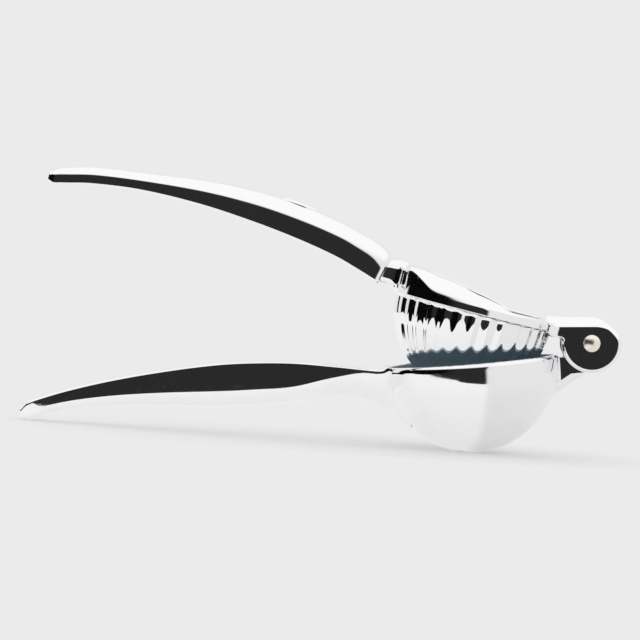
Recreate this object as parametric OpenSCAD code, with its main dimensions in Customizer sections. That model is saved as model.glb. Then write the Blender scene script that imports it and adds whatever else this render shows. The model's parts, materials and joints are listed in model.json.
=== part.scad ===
// Hinged lemon squeezer: two cast arms on one pin. The lower arm carries a pierced bowl with a strainer
// cup in it, the upper arm a ring with a fluted press dome. It stands on a small flat under the bowl and
// on the tip of the lower handle. Millimetres, +Z up, hinge axis along Y, handles towards -X. The origin
// is the middle of the flat under the bowl. Each arm is drawn level about the hinge axis, then tilted.

/* [Bowl] */
// Outer radius of the bowl
bowl_r = 34.2; // [30:0.1:40]
// Distance from the hinge axis to the bowl's centre, level with the arm
bowl_reach = 48.2; // [47:0.1:56]
// Depth of the bowl's centre below the hinge axis
bowl_drop = 6.0; // [4:0.1:9]
// Height of the rim above the bowl's centre
rim_rise = 2.5; // [2:0.1:6]
// Wall of the cast bowl
bowl_wall = 1.1; // [0.9:0.1:2]
// Thickness of the bowl's floor over that flat
bowl_floor = 1.6; // [1:0.1:2.5]
// How far the band round the rim stands out beyond the bowl
lip_out = 0.8; // [0.4:0.1:1.2]
// Height of the rounding along the band's upper edge
lip_round_h = 2.6; // [0.5:0.1:3]
// Width of that rounding
lip_round_w = 1.5; // [0.3:0.1:1.7]
// Radius of the flat that the bowl stands on
foot_r = 6.0; // [4:0.5:9]
// Number of drain holes round the middle one
drain_count = 5; // [3:1:8]
// Radius of a drain hole
drain_r = 1.8; // [1:0.1:2.5]
// Radius of the ring of drain holes
drain_ring_r = 8.6; // [6:0.1:12]

/* [Strainer cup] */
// Wall of the strainer cup
cup_wall = 0.8; // [0.5:0.1:1.2]
// How far the cup's edge lies below the bowl's rim
cup_below = 0.3; // [0.1:0.1:2]
// Depth of the cup's flat floor below the bowl's centre
cup_depth = 28.5; // [27:0.1:30]
// Thickness of the floor
cup_floor = 1.0; // [0.6:0.1:1.6]
// Radius of a strainer hole
sieve_r = 1.1; // [0.6:0.1:1.3]
// Distance between two rings of strainer holes
sieve_pitch = 4.2; // [3.6:0.1:4.8]
// Gap between the cup and the bowl
cup_gap = 0.1; // [0.05:0.01:0.3]

/* [Press head] */
// Radius of the dome over the crests of its flutes
dome_r = 31.6; // [27:0.1:31.8]
// Distance from the hinge axis to the dome's axis
dome_reach = 48.3; // [47:0.1:56]
// Depth of the dome's centre below the hinge axis
dome_drop = 0.9; // [0:0.1:2]
// Number of flutes
flute_count = 32; // [20:1:40]
// Depth of the grooves between the flutes
flute_depth = 0.8; // [0.5:0.1:1.5]
// Wall of the dome under the grooves
dome_wall = 2.0; // [1.2:0.1:3]
// Outer radius of the ring round the dome
ring_r = 33.0; // [31:0.1:36]
// Height of the ring's underside above the hinge axis
ring_z = 0.3; // [0:0.1:2]
// Thickness of the ring
ring_h = 3.9; // [3:0.1:6]
// Rounding of the ring's upper edge
ring_round = 1.6; // [0.5:0.1:2.5]

/* [Handles] */
// Distance from the hinge axis to the tip of the upper handle
upper_reach = 226.2; // [190:0.5:260]
// Distance from the hinge axis to the tip of the lower handle
lower_reach = 229.6; // [190:0.5:260]
// Greatest width of the upper handle
upper_w = 20; // [14:0.5:26]
// Greatest width of the lower handle
lower_w = 20.4; // [14:0.5:26]
// Rounding of the edges of a handle's inner face
edge_r = 1.1; // [0.5:0.1:2]
// Width of the neck between the upper handle and the ring
neck_w = 15.6; // [12:0.1:18]
// How far the upper handle's start leans over the neck for each mm of height
start_lean = 0.25; // [0:0.01:0.4]

/* [Hinge] */
// Radius of the hinge pin
pin_r = 2.6; // [2:0.05:3.2]
// Radial running clearance of the pin in the lower arm's bore
pin_play = 0.06; // [0.02:0.01:0.1]
// Radial clearance of the pin in the fork's bores
fork_play = 0.02; // [0.01:0.01:0.05]
// Radius of a pin head
head_r = 3.4; // [3.1:0.1:4.2]
// Height of a pin head
head_h = 1.2; // [0.5:0.1:1.4]
// Radius of the round eye of each fork cheek
eye_r = 11.9; // [9:0.1:12.5]
// Thickness of a fork cheek
cheek_t = 5.0; // [3:0.1:6]
// Rounding of the eye's outer edge
eye_round = 2.0; // [0.3:0.1:2.4]
// Height of the flat along the fork's top above the hinge axis
fork_top = 9.9; // [8:0.1:11]
// Slope of that flat against the arm
fork_slope = 14.7; // [8:0.1:18]
// Distance from the hinge axis to the slanting flat on the fork's nose
fork_nose = 10.2; // [9:0.1:11.5]
// Angle between the two flats
fork_turn = 40; // [30:1:50]
// Bevel between the top flat and the outer faces
fork_bevel = 3.3; // [1:0.1:4]
// Bevel between the nose flat and the outer faces
nose_bevel = 1.7; // [0.8:0.1:3]
// Width of the lower arm's tongue
tongue_w = 14.0; // [10:0.1:16]
// Radius of the round end of the tongue
tongue_r = 8.9; // [7:0.1:10.5]
// Bevel along the tongue's lower edges
tongue_bevel = 2.0; // [0.5:0.1:3]
// Thickness of a thrust washer
washer_t = 0.5; // [0.3:0.05:0.8]
// Outer radius of a thrust washer
washer_r = 7.0; // [5:0.1:7.5]
// Total side play of a washer
washer_play = 0.1; // [0.06:0.01:0.2]

/* [Badge plate] */
// Length of the blank oval plate
badge_l = 16.4; // [10:0.1:20]
// Width of the plate
badge_w = 8.6; // [5:0.1:11]
// Thickness of the plate
badge_t = 1.9; // [1.5:0.1:2.6]
// How far the plate stands above the handle's crown
badge_proud = 0.9; // [0.4:0.1:1.4]
// Distance from the hinge axis to the middle of the plate
badge_reach = 125.6; // [110:0.5:140]
// Gap round the plate in its pocket
badge_gap = 0.05; // [0.02:0.01:0.2]

/* [Pose] */
// Angle between the arms: 0 is closed, with ring and rim parallel
open_angle = 19.1; // [0:0.1:90]

/* [Hidden] */
$fn = 96;

CHROME = [0.82, 0.83, 0.85];
BLUE_GREY = [0.27, 0.32, 0.36];
NICKEL = [0.84, 0.79, 0.70];
NYLON = [0.90, 0.90, 0.88];

// One row for each station of an arm, from the press end to the tip:
// [place, inner face, crown, half width, straight side as a share of the depth, squareness]
// The place is a share of the way from the start of the handle to its tip.
// The heights are above the hinge axis, and the half width is a share of the greatest one.
UPPER_HANDLE = [
    [0.000,  2.4, 12.0, 0.72, 0.50, 2.2], [0.006,  1.6, 13.7, 0.86, 0.45, 2.2],
    [0.022,  1.9, 15.6, 0.93, 0.42, 2.2], [0.064,  3.6, 18.2, 0.97, 0.42, 2.2],
    [0.150,  7.0, 21.4, 1.00, 0.42, 2.2], [0.270, 10.0, 24.0, 1.00, 0.42, 2.2],
    [0.400, 12.2, 25.2, 0.96, 0.42, 2.2], [0.555, 13.7, 24.3, 0.88, 0.42, 2.2],
    [0.730, 13.4, 21.2, 0.76, 0.42, 2.2], [0.870, 11.0, 18.4, 0.66, 0.42, 2.2],
    [0.955,  8.3, 15.3, 0.60, 0.45, 2.2], [0.985,  7.5, 13.6, 0.55, 0.50, 2.2],
    [1.000,  8.3, 12.0, 0.40, 0.50, 2.2]];
LOWER_HANDLE = [
    [0.000, -4.2, -29.0, 1.15, 0.07, 2.1], [0.028, -4.2, -25.6, 1.12, 0.07, 2.1],
    [0.055, -4.0, -22.0, 1.04, 0.08, 2.1], [0.082, -3.7, -19.2, 0.96, 0.09, 2.1],
    [0.122, -2.6, -16.0, 0.88, 0.12, 2.1], [0.180, -0.9, -13.8, 0.84, 0.32, 2.1],
    [0.290,  2.0, -14.6, 0.94, 0.58, 2.2], [0.400,  3.5, -14.6, 1.00, 0.62, 2.2],
    [0.495,  3.8, -14.1, 0.98, 0.62, 2.2], [0.620,  2.8, -12.3, 0.90, 0.60, 2.2],
    [0.750,  0.9, -10.7, 0.76, 0.58, 2.2], [0.860, -1.6, -10.4, 0.64, 0.56, 2.2],
    [0.935, -4.0, -11.6, 0.54, 0.54, 2.2], [0.978, -6.0, -13.4, 0.44, 0.52, 2.2],
    [1.000, -8.8, -12.0, 0.24, 0.50, 2.2]];

// The neck flares from the handle into the ring, all heights above the ring's underside:
// [distance behind the ring's edge, underside, crown, share of the way from the neck's half width to the
// ring's, straight side, squareness]
NECK = [
    [-48.0, 0.0,  4.6, 0.98, 0.44, 2.0], [-42.5, 0.0,  9.3, 0.98, 0.21, 2.0],
    [-38.0, 0.0, 11.8, 0.98, 0.15, 2.0], [-33.0, 0.0, 13.9, 0.98, 0.12, 2.0],
    [-27.0, 0.0, 16.9, 0.98, 0.09, 2.0], [-20.5, 0.0, 18.3, 0.98, 0.09, 2.0],
    [-14.0, 0.0, 16.5, 0.98, 0.18, 2.0], [ -9.5, 0.0, 13.8, 0.97, 0.48, 2.0],
    [ -6.5, 0.0, 12.6, 0.90, 0.68, 2.2], [ -4.0, 0.4, 12.2, 0.74, 0.78, 2.4],
    [ -1.6, 1.1, 12.2, 0.00, 0.60, 2.4], [  3.0, 1.5, 12.2, 0.00, 0.55, 2.4],
    [  7.5, 1.5, 12.2, 0.00, 0.50, 2.2]];

NECK_STEPS = 3;
HANDLE_STEPS = 3;
CROWN_STEPS = 14;
CORNER_STEPS = 2;
HANDLE_BEHIND_RING = 4.9;
LOWER_START_IN = 9.0;

// Lower arm, about the hinge axis and level
cup_out_r = bowl_r - bowl_wall - cup_gap;
cup_in_r = cup_out_r - cup_wall;
lip_r = bowl_r + lip_out;
lower_start = bowl_reach + bowl_r - LOWER_START_IN;
foot_drop = sqrt(bowl_r * bowl_r - foot_r * foot_r);

// Upper arm, about the hinge axis and level
hollow_r = dome_r - flute_depth - dome_wall;
upper_start = dome_reach + ring_r + HANDLE_BEHIND_RING;
fork_in = tongue_w / 2 + washer_t + washer_play;
fork_out = fork_in + cheek_t;

// The arm tilts until the tip of the lower handle and the flat under the bowl are level
TIP_FLAT = 0.25;
TIP_ROW = len(LOWER_HANDLE) - 2;
tip_x = -place(LOWER_HANDLE[TIP_ROW][0], lower_start, lower_reach);
tip_z = LOWER_HANDLE[TIP_ROW][2];
tip_run = -bowl_reach - tip_x;
tip_fall = tip_z + bowl_drop;
lower_tilt = asin((-foot_drop - TIP_FLAT) / norm([tip_run, tip_fall])) - atan2(tip_fall, tip_run);
pivot_x = bowl_reach * cos(lower_tilt) + bowl_drop * sin(lower_tilt);
pivot_z = -bowl_reach * sin(lower_tilt) + bowl_drop * cos(lower_tilt) + foot_drop;

// Curve through the rows of a table: column c at place u, with smooth slopes
function row_at(t, u, i = 0) = (i >= len(t) - 2 || u < t[i + 1][0]) ? i : row_at(t, u, i + 1);
function slope(t, i, c) =
    let(a = max(i - 1, 0), b = min(i + 1, len(t) - 1)) (t[b][c] - t[a][c]) / (t[b][0] - t[a][0]);
function curve(t, u, c) =
    let(i = row_at(t, u), h = t[i + 1][0] - t[i][0], s = (u - t[i][0]) / h)
    (2 * s * s * s - 3 * s * s + 1) * t[i][c] + (s * s * s - 2 * s * s + s) * h * slope(t, i, c)
    + (3 * s * s - 2 * s * s * s) * t[i + 1][c] + (s * s * s - s * s) * h * slope(t, i + 1, c);
function place(share, start, end) = start + share * (end - start);

// Places between the rows of a table, with steps of them in each gap
function stations(t, steps) = concat(
    [for (i = [0 : len(t) - 2]) for (k = [0 : steps - 1]) t[i][0] + (t[i + 1][0] - t[i][0]) * k / steps],
    [t[len(t) - 1][0]]);

// A D-shaped outline across an arm, as [y, z]: flat inner face, straight sides, rounded crown
function power(v, p) = sign(v) * pow(abs(v), 2 / p);
function d_outline(inner, crown, half_w, side, square) =
    let(up = sign(crown - inner), side_z = inner + side * (crown - inner))
    concat(
        [for (k = [0 : CROWN_STEPS]) let(a = 180 * k / CROWN_STEPS)
            [half_w * power(cos(a), square), side_z + (crown - side_z) * power(sin(a), square)]],
        [for (k = [0 : CORNER_STEPS]) let(a = 90 * k / CORNER_STEPS)
            [-half_w + edge_r * (1 - cos(a)), inner + up * edge_r * (1 - sin(a))]],
        [for (k = [0 : CORNER_STEPS]) let(a = 90 * k / CORNER_STEPS)
            [half_w - edge_r * (1 - sin(a)), inner + up * edge_r * (1 - cos(a))]]);

// Skin over a row of outlines, each one [x, [[y, z], ...], how far x moves for each mm of z]
module skin(rings, turned = false) {
    n = len(rings[0][1]);
    m = len(rings);
    points = [for (r = rings) for (q = r[1]) [r[0] + r[2] * q[1], q[0], q[1]]];
    sides = [for (i = [0 : m - 2]) for (j = [0 : n - 1])
        [(i + 1) * n + j, (i + 1) * n + (j + 1) % n, i * n + (j + 1) % n, i * n + j]];
    caps = [[for (j = [0 : n - 1]) j], [for (j = [n - 1 : -1 : 0]) (m - 1) * n + j]];
    faces = concat(sides, caps);
    polyhedron(points, turned ? [for (f = faces) [for (k = [len(f) - 1 : -1 : 0]) f[k]]] : faces,
               convexity = 6);
}

// Half width of the ring's round outline at a distance from the dome's axis
function ring_half(d) = sqrt(max(ring_r * ring_r - d * d, 0));

// The handle's blunt start can lean over the neck. The lean fades out along LEAN_RUN of the handle.
LEAN_RUN = 0.12;
module handle(table, start, reach, half_w, turned, lean = 0) {
    skin([for (u = stations(table, HANDLE_STEPS))
        let(lean_here = lean * pow(max(1 - u / LEAN_RUN, 0), 2))
        [-place(u, start, reach) - lean_here * (table[0][1] + table[0][2]) / 2,
         d_outline(curve(table, u, 1), curve(table, u, 2), half_w * curve(table, u, 3),
                   curve(table, u, 4), curve(table, u, 5)),
         lean_here]], turned);
}

module neck() {
    edge = dome_reach + ring_r;
    skin([for (u = stations(NECK, NECK_STEPS))
        let(grow = curve(NECK, u, 3),
            half = max(neck_w / 2, neck_w / 2 * (1 - grow) + ring_half(ring_r + min(u, 0)) * grow))
        [-(edge + u), d_outline(ring_z + curve(NECK, u, 1), ring_z + curve(NECK, u, 2), half,
                                curve(NECK, u, 4), curve(NECK, u, 5)), 0]], true);
}

// Fluted hemisphere, closed at its pole, with a short straight length that ends inside the ring
LOBE_STEPS = 6;
DOME_ROWS = 14;
POLE_R = 1.5;
function lobe(a) = (cos(a * flute_count) - 1) / 2;
function dome_ring(r, z) = [for (k = [0 : flute_count * LOBE_STEPS - 1])
    let(a = 360 * k / (flute_count * LOBE_STEPS), q = r + flute_depth * (r / dome_r) * lobe(a))
    [q * cos(a), q * sin(a), z]];
module dome() {
    n = flute_count * LOBE_STEPS;
    pole_angle = 90 - asin(POLE_R / dome_r);
    rows = concat([[dome_r, dome_drop + ring_z + 1]],
        [for (k = [0 : DOME_ROWS]) let(a = pole_angle * k / DOME_ROWS) [dome_r * cos(a), -dome_r * sin(a)]]);
    m = len(rows);
    points = [for (r = rows) each dome_ring(r[0], r[1])];
    faces = concat(
        [for (i = [0 : m - 2]) for (j = [0 : n - 1])
            [i * n + j, i * n + (j + 1) % n, (i + 1) * n + (j + 1) % n, (i + 1) * n + j]],
        [[for (j = [n - 1 : -1 : 0]) j], [for (j = [0 : n - 1]) (m - 1) * n + j]]);
    translate([-dome_reach, 0, -dome_drop]) polyhedron(points, faces, convexity = 6);
}

module ring() {
    round_z = ring_z + ring_h - ring_round;
    translate([-dome_reach, 0, 0]) rotate_extrude()
        polygon(concat([[0, ring_z], [ring_r, ring_z]],
            [for (a = [0 : 15 : 90]) [ring_r - ring_round * (1 - cos(a)), round_z + ring_round * sin(a)]],
            [[0, ring_z + ring_h]]));
}

// Everything below one of the fork's flats, with the bevel towards the +Y face
module below_flat(angle, height, bevel) {
    long = dome_reach + eye_r;
    rotate([0, angle, 0]) translate([-long, 0, 0]) rotate([90, 0, 90]) linear_extrude(2 * long)
        polygon([[0, -long], [fork_out + 1, -long], [fork_out + 1, height - bevel - 1],
            [fork_out - bevel, height], [0, height]]);
}

// One cheek of the fork, on the +Y side: a round eye and the web that joins it to the ring, cut by the
// flats along the fork's top and nose
WEB_IN = 5.5;
WEB_LOW = -0.7;
module cheek() {
    web_l = dome_reach - ring_r + WEB_IN;
    intersection() {
        union() {
            rotate([-90, 0, 0]) translate([0, 0, fork_in]) rotate_extrude()
                polygon(concat([[0, 0], [eye_r, 0]],
                    [for (a = [0 : 15 : 90])
                        [eye_r - eye_round * (1 - cos(a)), cheek_t - eye_round * (1 - sin(a))]],
                    [[0, cheek_t]]));
            translate([-web_l, fork_in, WEB_LOW]) cube([web_l, cheek_t, eye_r]);
        }
        below_flat(-fork_slope, fork_top, fork_bevel);
        below_flat(fork_turn - fork_slope, fork_nose, nose_bevel);
    }
}

// The pocket and the plate have one outline, a little wider in the pocket
badge_share = (badge_reach - upper_start) / (upper_reach - upper_start);
badge_crown = curve(UPPER_HANDLE, badge_share, 2);
badge_run = badge_l / 2 / (upper_reach - upper_start);
badge_slope = atan2(curve(UPPER_HANDLE, badge_share + badge_run, 2)
    - curve(UPPER_HANDLE, badge_share - badge_run, 2), badge_l);
module badge_oval(gap, height) {
    translate([-badge_reach, 0, badge_crown]) rotate([0, badge_slope, 0])
        translate([0, 0, badge_proud - badge_t]) linear_extrude(height)
        polygon([for (a = [0 : 7.5 : 352.5])
            [(badge_l / 2 + gap) * cos(a), (badge_w / 2 + gap) * sin(a)]]);
}

module upper_level() {
    difference() {
        union() {
            handle(UPPER_HANDLE, upper_start, upper_reach, upper_w / 2, true, start_lean);
            neck();
            ring();
            dome();
            cheek();
            mirror([0, 1, 0]) cheek();
        }
        translate([-dome_reach, 0, -dome_drop]) sphere(hollow_r);
        translate([-dome_reach, 0, -dome_drop]) cylinder(r = hollow_r, h = bowl_r);
        rotate([90, 0, 0]) cylinder(r = pin_r + fork_play, h = 2 * fork_out + 2, center = true);
        badge_oval(badge_gap, badge_t + bowl_r);
    }
}

// Outer shape of the bowl: a sphere up to the band, then the band, as shares of the bowl's radius, each row
// [height above the bowl's centre, radius without lip_out, share of lip_out added to it]
BAND = [[-0.5556, 0.8315, 0.0], [-0.4386, 0.9034, 0.23], [-0.3363, 0.9474, 1.0], [-0.2632, 0.9795, 1.0],
        [-0.2047, 0.9936, 1.0], [-0.1608, 0.9977, 1.0], [-0.1023, 0.9994, 1.0]];
BAND_BELOW = 36;
module bowl_skin() {
    translate([-bowl_reach, 0, -bowl_drop]) rotate_extrude()
        polygon(concat([for (a = [-90 : 3 : -BAND_BELOW]) [bowl_r * cos(a), bowl_r * sin(a)]],
            [for (b = BAND) [bowl_r * b[1] + lip_out * b[2], bowl_r * b[0]]],
            [for (a = [0 : 22.5 : 90])
                [lip_r - lip_round_w * (1 - cos(a)), rim_rise - lip_round_h * (1 - sin(a))]],
            [[0, rim_rise]]));
}

module bowl_hollow() {
    translate([-bowl_reach, 0, -bowl_drop]) {
        intersection() {
            sphere(bowl_r - bowl_wall);
            translate([0, 0, bowl_floor - foot_drop]) cylinder(r = bowl_r, h = 2 * bowl_r);
        }
        cylinder(r = bowl_r - bowl_wall, h = rim_rise + 1);
    }
}

module drain_holes() {
    translate([-bowl_reach, 0, -bowl_drop - bowl_r - 1]) {
        cylinder(r = drain_r, h = bowl_r / 2);
        for (k = [0 : drain_count - 1]) rotate([0, 0, 360 * (k + 0.5) / drain_count])
            translate([-drain_ring_r, 0, 0]) cylinder(r = drain_r, h = bowl_r / 2);
    }
}

// Side view of the tongue: a straight underside that runs on into the bowl, tangent to its round end. A
// long prism with bevelled lower edges trims it.
TONGUE_TOP = -4.5;
TONGUE_SLOPE = 29.6;
TONGUE_IN = 12;
module tongue() {
    tongue_run = bowl_reach - bowl_r + TONGUE_IN;
    turn = [tongue_r * sin(TONGUE_SLOPE), -tongue_r * cos(TONGUE_SLOPE)];
    foot = turn - tongue_run * [cos(TONGUE_SLOPE), sin(TONGUE_SLOPE)];
    half = tongue_w / 2;
    bevel_end = 1 + tongue_bevel - tongue_r;
    intersection() {
        rotate([90, 0, 0]) {
            translate([0, 0, -half]) linear_extrude(tongue_w)
                polygon([[0, 0], turn, foot, [foot[0], TONGUE_TOP], [TONGUE_TOP, TONGUE_TOP]]);
            cylinder(r = tongue_r, h = tongue_w, center = true);
        }
        rotate([0, -TONGUE_SLOPE, 0]) translate([-bowl_reach, 0, 0]) rotate([90, 0, 90])
            linear_extrude(2 * bowl_reach)
            polygon([[-half - 1, bowl_r], [-half - 1, bevel_end], [tongue_bevel - half, -tongue_r],
                [half - tongue_bevel, -tongue_r], [half + 1, bevel_end], [half + 1, bowl_r]]);
    }
}

module lower_level() {
    difference() {
        union() {
            bowl_skin();
            handle(LOWER_HANDLE, lower_start, lower_reach, lower_w / 2, false);
            tongue();
        }
        bowl_hollow();
        drain_holes();
        rotate([90, 0, 0]) cylinder(r = pin_r + pin_play, h = tongue_w + 2, center = true);
    }
}

module stand_lower() { translate([pivot_x, 0, pivot_z]) rotate([0, lower_tilt, 0]) children(); }
module stand_upper() { translate([pivot_x, 0, pivot_z]) rotate([0, lower_tilt + open_angle, 0]) children(); }

module lower_arm() {
    color(CHROME) difference() {
        stand_lower() lower_level();
        translate([-lower_reach, -lower_w, -bowl_r]) cube([lower_reach + bowl_r, 2 * lower_w, bowl_r]);
    }
}

module upper_arm() { color(CHROME) stand_upper() upper_level(); }

module sieve_ring(count, r) {
    for (k = [0 : count - 1]) rotate([0, 0, 360 * k / count])
        translate([r, 0, 0]) cylinder(r = sieve_r, h = cup_floor + 2);
}

module strainer_cup() {
    color(BLUE_GREY) stand_lower() translate([-bowl_reach, 0, -bowl_drop]) difference() {
        union() {
            intersection() {
                sphere(cup_out_r);
                translate([0, 0, -cup_depth - cup_floor]) cylinder(r = bowl_r, h = cup_depth + cup_floor);
            }
            cylinder(r = cup_out_r, h = rim_rise - cup_below);
        }
        intersection() {
            sphere(cup_in_r);
            translate([0, 0, -cup_depth]) cylinder(r = bowl_r, h = 2 * bowl_r);
        }
        cylinder(r = cup_in_r, h = rim_rise + 1);
        translate([0, 0, -cup_depth - cup_floor - 1]) {
            sieve_ring(1, 0);
            sieve_ring(6, sieve_pitch);
            sieve_ring(12, 2 * sieve_pitch);
            sieve_ring(18, 3 * sieve_pitch);
        }
    }
}

// A pin with a domed head at each end, a cap of a ball
HEAD_STEPS = 5;
module hinge_pin() {
    ball_r = (head_r * head_r + head_h * head_h) / (2 * head_h);
    cap = [for (k = [0 : HEAD_STEPS]) let(a = asin(head_r / ball_r) * k / HEAD_STEPS)
        [ball_r * sin(a), fork_out + head_h - ball_r * (1 - cos(a))]];
    color(NICKEL) stand_upper() rotate([90, 0, 0]) rotate_extrude()
        polygon(concat([for (p = cap) [p[0], -p[1]]], [[pin_r, -fork_out], [pin_r, fork_out]],
            [for (k = [HEAD_STEPS : -1 : 0]) cap[k]]));
}

module washer(side) {
    color(NYLON) stand_upper()
        translate([0, side * (tongue_w / 2 + (washer_t + washer_play) / 2), 0]) rotate([90, 0, 0])
        difference() {
            cylinder(r = washer_r, h = washer_t, center = true);
            cylinder(r = pin_r + pin_play, h = washer_t + 1, center = true);
        }
}
module washer_front() { washer(-1); }
module washer_back() { washer(1); }

module badge_plate() { color(CHROME) stand_upper() badge_oval(0, badge_t); }

lower_arm();
upper_arm();
strainer_cup();
hinge_pin();
washer_front();
washer_back();
badge_plate();
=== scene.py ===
# %% [markdown]
# # A hinged lemon squeezer, finished in Blender
# The tool is two chromed castings on one pin. The lower one carries a round bowl with a strainer cup, the
# upper one a ring with a fluted press dome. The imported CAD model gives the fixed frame: every piece below
# is worked out in the same place, and stands in for a CAD node or keeps it with a better finish.
# Lengths are in millimetres while a shape is worked out, and become metres when its mesh is made.

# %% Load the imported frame
import json
import math
import bpy
import numpy as np
from mathutils import Matrix


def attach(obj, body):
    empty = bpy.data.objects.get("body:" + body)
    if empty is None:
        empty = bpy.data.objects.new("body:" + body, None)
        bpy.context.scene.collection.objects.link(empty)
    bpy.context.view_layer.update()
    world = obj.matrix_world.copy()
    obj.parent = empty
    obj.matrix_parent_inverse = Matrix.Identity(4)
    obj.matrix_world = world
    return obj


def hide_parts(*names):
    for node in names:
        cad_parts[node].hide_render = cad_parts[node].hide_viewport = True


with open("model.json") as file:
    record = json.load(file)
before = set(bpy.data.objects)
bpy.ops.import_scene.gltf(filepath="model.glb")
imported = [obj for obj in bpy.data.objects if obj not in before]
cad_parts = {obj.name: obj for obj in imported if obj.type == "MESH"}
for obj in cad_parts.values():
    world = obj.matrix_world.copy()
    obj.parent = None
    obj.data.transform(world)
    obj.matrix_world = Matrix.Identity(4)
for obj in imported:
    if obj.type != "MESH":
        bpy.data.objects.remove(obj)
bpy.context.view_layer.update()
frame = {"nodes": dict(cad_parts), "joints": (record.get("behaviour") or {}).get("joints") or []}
print("nodes:", sorted(frame["nodes"]))

# %% [markdown]
# ## The camera
# A long lens looks along the hinge pin from 2 m away, almost level, and is turned a little about its own
# axis. Its place is worked out from the hinge axis, so the picture is framed on the real hinge.

# %% The camera
PIVOT = np.array(frame["joints"][0]["pos_m"]) * 1000
LENS_DISTANCE, FURTHEST_SEEN = 2000.0, 20000.0
LENS_DOWN, LENS_ROLL = math.radians(2.0), math.radians(4.07)
SENSOR_MM, PICTURE_MM = 36.0, 256.0
PIVOT_ASIDE, PIVOT_BELOW = -108.12, 8.92

def camera_axes():
    """Right, up and forward of the camera: square to the hinge, dipped by LENS_DOWN and then rolled."""
    forward = np.array([0, math.cos(LENS_DOWN), -math.sin(LENS_DOWN)])
    level_up = np.array([0, math.sin(LENS_DOWN), math.cos(LENS_DOWN)])
    x = np.array([1.0, 0, 0])
    right = math.cos(LENS_ROLL) * x + math.sin(LENS_ROLL) * level_up
    return right, -math.sin(LENS_ROLL) * x + math.cos(LENS_ROLL) * level_up, forward

right, up, forward = camera_axes()
spot = PIVOT + PIVOT_ASIDE * right + PIVOT_BELOW * up - LENS_DISTANCE * forward
camera = bpy.data.objects.new("camera", bpy.data.cameras.new("camera"))
camera.data.lens = SENSOR_MM * LENS_DISTANCE / PICTURE_MM
camera.data.clip_end = FURTHEST_SEEN / 1000
turn = Matrix((right, up, -forward)).transposed().to_4x4()
camera.matrix_world = Matrix.Translation(spot / 1000) @ turn
bpy.context.scene.collection.objects.link(camera)
bpy.context.scene.camera = camera
print("lens of", round(camera.data.lens), "mm, hinge at", PIVOT.round(2))

# %% [markdown]
# ## From numbers to a mesh
# Each shape here is a grid of points: the rows follow one parameter, the columns go round the other. A
# skin of quads joins them, and a fan closes each end. The sign of the enclosed volume tells which way the
# faces point, so a skin that comes out inside out is turned.

# %% Skins and meshes
def wrap(a, b):
    """Quads from the rows of point numbers a to the rows b, whose columns go round."""
    return np.stack([a, np.roll(a, -1, axis=1), np.roll(b, -1, axis=1), b], axis=-1).reshape(-1, 4)

def facing_out(points, quads, tris):
    """Turns the faces if the volume they enclose, the sum of p . (q x r) / 6 over triangles, is negative."""
    corners = np.concatenate([quads[:, [0, 1, 2]], quads[:, [0, 2, 3]], tris])
    p, q, r = points[corners[:, 0]], points[corners[:, 1]], points[corners[:, 2]]
    if np.einsum("ij,ij->", p, np.cross(q, r)) < 0:
        quads, tris = quads[:, ::-1], tris[:, ::-1]
    return points, quads, tris

def skin(grid):
    """Closes a grid (rows, columns, xyz), whose columns go round, with a fan at each end."""
    m, n, _ = grid.shape
    points = np.concatenate([grid.reshape(-1, 3), grid[[0, -1]].mean(axis=1)])
    k = np.arange(m * n).reshape(m, n)
    start, end = k[0], k[-1]
    fans = [np.stack([np.roll(start, -1), start, np.full(n, m * n)], axis=-1),
            np.stack([end, np.roll(end, -1), np.full(n, m * n + 1)], axis=-1)]
    return facing_out(points, wrap(k[:-1], k[1:]), np.concatenate(fans))

def band(grid):
    """Closes a grid in both directions: the last row is joined to the first one."""
    k = np.arange(grid[..., 0].size).reshape(grid.shape[:2])
    return facing_out(grid.reshape(-1, 3), wrap(k, np.roll(k, -1, axis=0)), np.empty((0, 3), int))

def mesh_piece(name, skins, sharp=42):
    """One object from several skins, in metres, smooth but for edges that turn by more than sharp degrees."""
    count, points, quads, tris = 0, [], [], []
    for p, q, t in skins:
        points.append(p)
        quads.append(q + count)
        tris.append(t + count)
        count += len(p)
    points, quads, tris = np.concatenate(points) / 1000, np.concatenate(quads), np.concatenate(tris)
    mesh = bpy.data.meshes.new(name)
    mesh.vertices.add(len(points))
    mesh.vertices.foreach_set("co", points.ravel())
    mesh.loops.add(quads.size + tris.size)
    mesh.loops.foreach_set("vertex_index", np.concatenate([quads.ravel(), tris.ravel()]))
    starts = np.concatenate([np.arange(len(quads)) * 4, quads.size + np.arange(len(tris)) * 3])
    mesh.polygons.add(len(starts))
    mesh.polygons.foreach_set("loop_start", starts)
    mesh.update(calc_edges=True)
    mesh.shade_smooth()
    mesh.set_sharp_from_angle(angle=math.radians(sharp))
    piece = bpy.data.objects.new(name, mesh)
    bpy.context.scene.collection.objects.link(piece)
    return piece

def report(piece):
    """Prints a piece's size in millimetres and its number of triangles."""
    co = np.empty(len(piece.data.vertices) * 3)
    piece.data.vertices.foreach_get("co", co)
    size = np.ptp(co.reshape(-1, 3), axis=0) * 1000
    count = sum(len(p.vertices) - 2 for p in piece.data.polygons)
    print(piece.name, "is", size.round(1), "mm,", count, "triangles")

# %% [markdown]
# ## Curves through a few rows
# A handle is drawn the way a pattern maker would: a few cross-sections along its length, and a smooth
# curve through them. Between two rows a cubic runs from one to the other with the slopes of the chords
# round them, so the light runs along the handle without a kink.

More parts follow.
